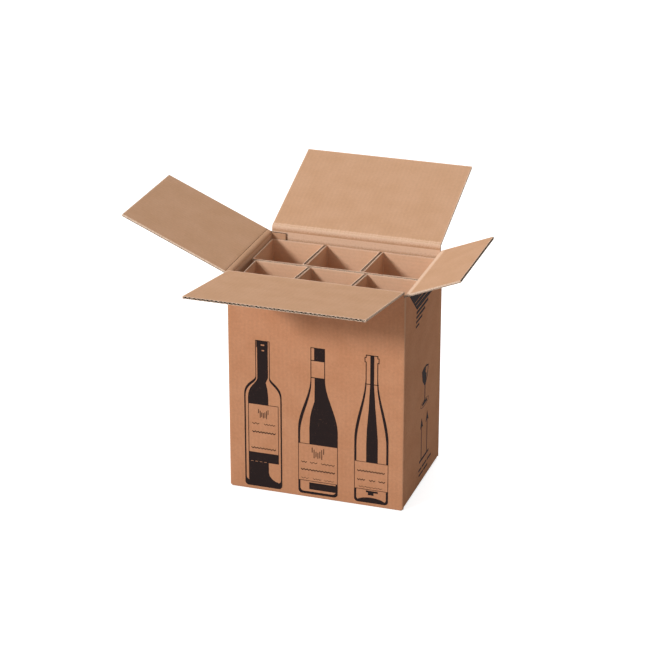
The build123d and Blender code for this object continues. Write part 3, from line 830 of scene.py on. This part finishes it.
# Paper: steps of its noises to a metre, what of them shows, how much each darkens or raises it, and finish
CLOUD_SCALE = 24
BLOTCH_SCALE = 210
FIBRE_SCALE = 900
FIBRE_STRETCH = 0.35
SPECK_SCALE = 520
BROKEN_SCALE = 330
CLOUD_WINDOW = (0.35, 0.65)
SPECK_WINDOW = (0.70, 0.78)
BROKEN_WINDOW = (0.75, 1.25)
BLOTCH_SHADE = 0.26
FIBRE_SHADE = 0.16
FLUTE_SHADE = 0.012
SPECK_SHADE = 0.11
BROKEN_SHARE = 0.7
WEAR_AND_LIGHT_SHARE = 0.75
FIBRE_HEIGHT = 0.35
FLUTE_HEIGHT = 0.22
BLOTCH_HEIGHT = 0.5
PAPER_BUMP = {"Strength": 0.35, "Distance": 0.0004}
PAPER_FINISH = (0.9, 0.06)

# Cut edge: its fibres
CUT_SCALE = 420
CUT_WINDOW = (0.45, 0.7)

# Ink: bare specks, more of them in patches, and the board's unevenness under it
INK_SPECK_SCALE = 650
INK_SPECK_WINDOW = (0.66, 0.80)
PATCH_SCALE = 70
PATCH_WINDOW = (0.45, 0.75)
PATCH_SHARE = 0.35
SPECK_SHARE = 0.1
INK_BUMP_SCALE = 210
INK_BUMP = {"Strength": 0.3, "Distance": 0.0003}
INK_FINISH = (0.8, 0.1)


class Nodes:
    """The node tree of a material or a world, built up one linked node at a time."""

    def __init__(self, owner):
        owner.use_nodes = True
        self.owner = owner
        self.tree = owner.node_tree

    def add(self, kind, inputs=(), **settings):
        """Adds a node with its inputs and gives its first output."""
        made = self.tree.nodes.new(kind)
        for key, value in settings.items():
            setattr(made, key, value)
        for key, value in dict(inputs).items():
            self.feed(made.inputs[key], value)
        return made.outputs[0] if made.outputs else None

    def feed(self, socket, value):
        """Links a socket to a socket, or sets it."""
        if isinstance(value, bpy.types.NodeSocket):
            self.tree.links.new(value, socket)
        else:
            socket.default_value = value

    def math(self, operation, first, second):
        """Result of one operation on two numbers or sockets."""
        return self.add("ShaderNodeMath", {0: first, 1: second}, operation=operation)

    def plus(self, value, part, share):
        """Value plus that share of a part."""
        return self.math("ADD", value, self.math("MULTIPLY", part, share))

    def noise(self, vector, scale, detail, stretch=(1, 1, 1)):
        """Noise in steps of one over scale metres, from 0 to 1."""
        spread = self.add("ShaderNodeVectorMath", {0: vector, 1: stretch}, operation="MULTIPLY")
        return self.add("ShaderNodeTexNoise", {"Vector": spread, "Scale": scale, "Detail": detail})

    def window(self, value, low, high):
        """Value from low to high spread over 0 to 1."""
        inputs = {"Value": value, "From Min": low, "From Max": high}
        return self.add("ShaderNodeMapRange", inputs, clamp=True)

    def mix(self, share, first, second):
        """Colour that share of the way from first to second."""
        made = self.tree.nodes.new("ShaderNodeMix")
        made.data_type = "RGBA"
        self.feed(made.inputs["Factor"], share)
        self.feed(made.inputs[6], first)
        self.feed(made.inputs[7], second)
        return made.outputs[2]

    def seen(self):
        """1 where the camera, a mirror or a glass looks, and 0 for the light on the object."""
        path = self.tree.nodes.new("ShaderNodeLightPath")
        rays = self.math("MAXIMUM", path.outputs["Is Camera Ray"], path.outputs["Is Glossy Ray"])
        return self.math("MAXIMUM", rays, path.outputs["Is Transmission Ray"])

    def surface(self, colour, finish, bump=None):
        """Gives the shader its colour, its finish, which is roughness and gloss, and its bump."""
        shader = self.tree.nodes["Principled BSDF"]
        self.feed(shader.inputs["Base Color"], colour)
        self.feed(shader.inputs["Roughness"], finish[0])
        self.feed(shader.inputs["Specular IOR Level"], finish[1])
        if bump:
            self.feed(shader.inputs["Normal"], self.add("ShaderNodeBump", bump))
        return shader


def board_paper(name, colour, second, worn_and_lit_tone, flutes_across=True, grain=1.0):
    """Kraft paper over flutes: two tones in clouds, fibres, specks and faint flutes. A lighter tone shows
    rubbed edges, and also painted highlights and painted light where the vertex value asks for it.
    """
    nodes = Nodes(bpy.data.materials.new(name))
    blank = nodes.add("ShaderNodeUVMap", uv_map="blank")
    clouds = nodes.noise(blank, CLOUD_SCALE, detail=3)
    blotches = nodes.noise(blank, BLOTCH_SCALE, detail=3)
    along_fibres = (1, FIBRE_STRETCH, 1) if flutes_across else (FIBRE_STRETCH, 1, 1)
    fibres = nodes.noise(blank, FIBRE_SCALE, detail=2, stretch=along_fibres)
    specks = nodes.window(nodes.noise(blank, SPECK_SCALE, detail=1), *SPECK_WINDOW)
    axes = nodes.tree.nodes.new("ShaderNodeSeparateXYZ")
    nodes.feed(axes.inputs[0], blank)
    across = axes.outputs["X" if flutes_across else "Y"]
    wave = nodes.math("SINE", nodes.math("MULTIPLY", across, 2 * pi / FLUTE_PITCH), 0)
    tone = nodes.mix(nodes.window(clouds, *CLOUD_WINDOW), colour, second)
    shade = nodes.plus(1 - BLOTCH_SHADE / 2 * grain, blotches, BLOTCH_SHADE * grain)
    shade = nodes.plus(shade, nodes.math("SUBTRACT", fibres, 0.5), FIBRE_SHADE * grain)
    shade = nodes.plus(shade, wave, FLUTE_SHADE)
    shade = nodes.plus(shade, specks, -SPECK_SHADE)
    paper = nodes.add("ShaderNodeVectorMath", {0: tone, "Scale": shade}, operation="SCALE")
    # The vertex value mixes rubbed edges with painted highlights and painted light
    edge = nodes.add("ShaderNodeAttribute", attribute_name="wear").node.outputs["Fac"]
    tatters = nodes.noise(blank, BROKEN_SCALE, detail=3)
    broken = nodes.window(nodes.plus(edge, tatters, BROKEN_SHARE), *BROKEN_WINDOW)
    mixed = nodes.mix(nodes.math("MULTIPLY", broken, WEAR_AND_LIGHT_SHARE), paper, worn_and_lit_tone)
    height = nodes.plus(nodes.math("MULTIPLY", fibres, FIBRE_HEIGHT), wave, FLUTE_HEIGHT)
    height = nodes.plus(height, blotches, BLOTCH_HEIGHT)
    nodes.surface(mixed, PAPER_FINISH, {**PAPER_BUMP, "Height": height})
    return nodes.owner


def raw_edge(name, colour, dark):
    """Cut edge of paper: pale broken fibres."""
    nodes = Nodes(bpy.data.materials.new(name))
    blank = nodes.add("ShaderNodeUVMap", uv_map="blank")
    fibres = nodes.window(nodes.noise(blank, CUT_SCALE, detail=3), *CUT_WINDOW)
    nodes.surface(nodes.mix(fibres, colour, dark), PAPER_FINISH)
    return nodes.owner


def printed_ink(name, colour, bare):
    """Flat black ink on board, broken by small bare specks that lie closer in patches."""
    nodes = Nodes(bpy.data.materials.new(name))
    place = nodes.add("ShaderNodeTexCoord").node.outputs["Object"]
    specks = nodes.window(nodes.noise(place, INK_SPECK_SCALE, detail=2), *INK_SPECK_WINDOW)
    patches = nodes.window(nodes.noise(place, PATCH_SCALE, detail=3), *PATCH_WINDOW)
    share = nodes.plus(SPECK_SHARE, patches, PATCH_SHARE)
    mixed = nodes.mix(nodes.math("MULTIPLY", specks, share), colour, bare)
    height = nodes.noise(place, INK_BUMP_SCALE, detail=3)
    nodes.surface(mixed, INK_FINISH, {**INK_BUMP, "Height": height})
    return nodes.owner


def make_camera():
    """The photograph's own view."""
    ahead = Vector((
        -sin(CAMERA_YAW) * cos(CAMERA_PITCH), cos(CAMERA_YAW) * cos(CAMERA_PITCH), -sin(CAMERA_PITCH),
    ))
    right = Vector((cos(CAMERA_YAW), sin(CAMERA_YAW), 0))
    up = right.cross(ahead)
    rolled_right = right * cos(CAMERA_ROLL) + up * sin(CAMERA_ROLL)
    rolled_up = up * cos(CAMERA_ROLL) - right * sin(CAMERA_ROLL)
    data = bpy.data.cameras.new("camera")
    data.lens = CAMERA_LENS
    data.sensor_width = SENSOR_WIDTH
    camera = bpy.data.objects.new("camera", data)
    turn = Matrix((rolled_right, rolled_up, -ahead)).transposed().to_4x4()
    camera.matrix_world = Matrix.Translation(CAMERA_PLACE) @ turn
    bpy.context.scene.collection.objects.link(camera)
    bpy.context.scene.camera = camera


def make_sun(name, azimuth, elevation, strength, softness):
    """A soft lamp from an azimuth left of the front and an elevation, in degrees."""
    data = bpy.data.lights.new(name, "SUN")
    data.energy = strength
    data.angle = radians(softness)
    lamp = bpy.data.objects.new(name, data)
    a, e = radians(azimuth), radians(elevation)
    source = Vector((-sin(a) * cos(e), -cos(a) * cos(e), sin(e)))
    lamp.rotation_mode = "QUATERNION"
    lamp.rotation_quaternion = source.to_track_quat("Z", "Y")
    bpy.context.scene.collection.objects.link(lamp)


def make_stage():
    """White floor that keeps the shadow, and a white surround for the camera and reflections."""
    mesh = bpy.data.meshes.new("floor")
    corners = [(x * FLOOR_REACH, y * FLOOR_REACH, 0) for x, y in ((-1, -1), (1, -1), (1, 1), (-1, 1))]
    mesh.from_pydata(corners, [], [(0, 1, 2, 3)])
    floor = bpy.data.objects.new("floor", mesh)
    bpy.context.scene.collection.objects.link(floor)
    nodes = Nodes(bpy.data.materials.new("floor_white"))
    shader = nodes.surface(FLOOR_COLOUR, FLOOR_FINISH)
    nodes.feed(shader.inputs["Emission Color"], WHITE)
    nodes.feed(shader.inputs["Emission Strength"], nodes.math("MULTIPLY", nodes.seen(), FLOOR_GLOW))
    mesh.materials.append(nodes.owner)

    surround = Nodes(bpy.data.worlds.new("surround"))
    bpy.context.scene.world = surround.owner
    surround.tree.nodes.clear()
    light = surround.add("ShaderNodeBackground", {"Color": WHITE, "Strength": AMBIENT})
    white = surround.add("ShaderNodeBackground", {"Color": WHITE, "Strength": 1})
    mixed = surround.add("ShaderNodeMixShader", {0: surround.seen(), 1: light, 2: white})
    surround.add("ShaderNodeOutputWorld", {"Surface": mixed})


# Floor: half its width, its colour and finish, and the light it has of its own for the camera
FLOOR_REACH = 12
FLOOR_COLOUR = (0.56, 0.56, 0.56, 1)
FLOOR_FINISH = (1, 0)
FLOOR_GLOW = 0.80

# Light: white, even from all sides, and from lamps with azimuth, elevation, strength and angle of the source
WHITE = (1, 1, 1, 1)
AMBIENT = 0.17
SUNS = {
    "key": (34, 27, 2.00, 10),
    "front_fill": (15, 16, 0.35, 30),
    "top": (172, 62, 1.70, 50),
}

bpy.context.scene.view_settings.view_transform = "Standard"
make_camera()
make_stage()
for sun_name, settings in SUNS.items():
    make_sun(sun_name, *settings)

# Colours, in linear light
KRAFT = (0.562, 0.261, 0.138, 1)
KRAFT_SECOND = (0.598, 0.288, 0.158, 1)
TAN = (0.57, 0.332, 0.197, 1)
TAN_SECOND = (0.60, 0.355, 0.219, 1)
# Lighter tone of the inner papers: rubbed edges, and also painted highlights along creases and folds and
# painted light on shaded inner walls
WORN_AND_PAINTED_LIGHT = (0.84, 0.60, 0.44, 1)
KRAFT_WORN = (0.58, 0.34, 0.215, 1)
RAW = (0.84, 0.63, 0.48, 1)
RAW_DARK = (0.62, 0.41, 0.28, 1)
# Wave and pressed core of the carton board, nearly black: painted shade of the gaps between the liners, far
# darker than the paper itself
WAVE_PAINTED_SHADE = (0.03, 0.018, 0.012, 1)
WAVE_PAINTED_SHADE_SECOND = (0.045, 0.026, 0.017, 1)
# Wave of the inserts, far darker than their liners: painted shade of the groove between the liners at the
# top
INSERT_WAVE_PAINTED_SHADE = (0.14, 0.085, 0.055, 1)
INSERT_WAVE_PAINTED_SHADE_SECOND = (0.17, 0.105, 0.068, 1)
INSERT_TAN = (0.74, 0.462, 0.297, 1)
INSERT_SECOND = (0.77, 0.492, 0.327, 1)
INK = (0.021, 0.013, 0.0125, 1)

outer_paper = board_paper("outer_kraft", KRAFT, KRAFT_SECOND, KRAFT_WORN)
inner_paper = board_paper("inner_kraft", TAN, TAN_SECOND, WORN_AND_PAINTED_LIGHT, grain=0.6)
insert_paper = board_paper("insert_kraft", INSERT_TAN, INSERT_SECOND, WORN_AND_PAINTED_LIGHT, flutes_across=False, grain=0.6)
# Paper of the wave and core slot, nearly black as painted shade
wave_paper_painted_shade = board_paper("flute_paper", WAVE_PAINTED_SHADE, WAVE_PAINTED_SHADE_SECOND, WORN_AND_PAINTED_LIGHT, grain=0.5)
# Paper of the inserts' wave, darkened as painted shade
insert_wave_painted_shade = board_paper("insert_flutes", INSERT_WAVE_PAINTED_SHADE, INSERT_WAVE_PAINTED_SHADE_SECOND, WORN_AND_PAINTED_LIGHT, grain=0.5)
cut_paper = raw_edge("cut_edge", RAW, RAW_DARK)
carton_papers = (outer_paper, inner_paper, cut_paper, wave_paper_painted_shade)
insert_papers = (insert_paper, insert_paper, cut_paper, insert_wave_painted_shade)

# Carton
carton = Pieces()
carton_shells(carton)
carton_cores(carton)
carton_piece = carton.build("carton_board", carton_papers)
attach(carton_piece, "carton")
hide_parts("carton")

# Long flaps with the liners of their folds
for flap_name in LONG_FLAPS:
    flap_piece = long_flap(flap_name).build(flap_name + "_board", carton_papers)
    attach(flap_piece, flap_name)
    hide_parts(flap_name)
    strips, limits = fold_strips(flap_name)
    for layer, strip in strips:
        strip_piece = strip.build(f"{flap_name}_fold_{layer}", carton_papers)
        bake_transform(strip_piece)

# Inserts
for seed, (insert_name, corners) in enumerate(insert_paths().items(), INSERT_SEED):
    sheet = Pieces()
    sheet_liners(sheet, corners, seed)
    sheet_wave(sheet, corners)
    insert_piece = sheet.build(insert_name + "_board", insert_papers)
    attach(insert_piece, "carton")
    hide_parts(insert_name)

# Print
ink = printed_ink("ink", INK, KRAFT)
for print_name in ("front_print", "side_print"):
    print_node = frame["nodes"][print_name]
    print_node.data.materials.clear()
    print_node.data.materials.append(ink)
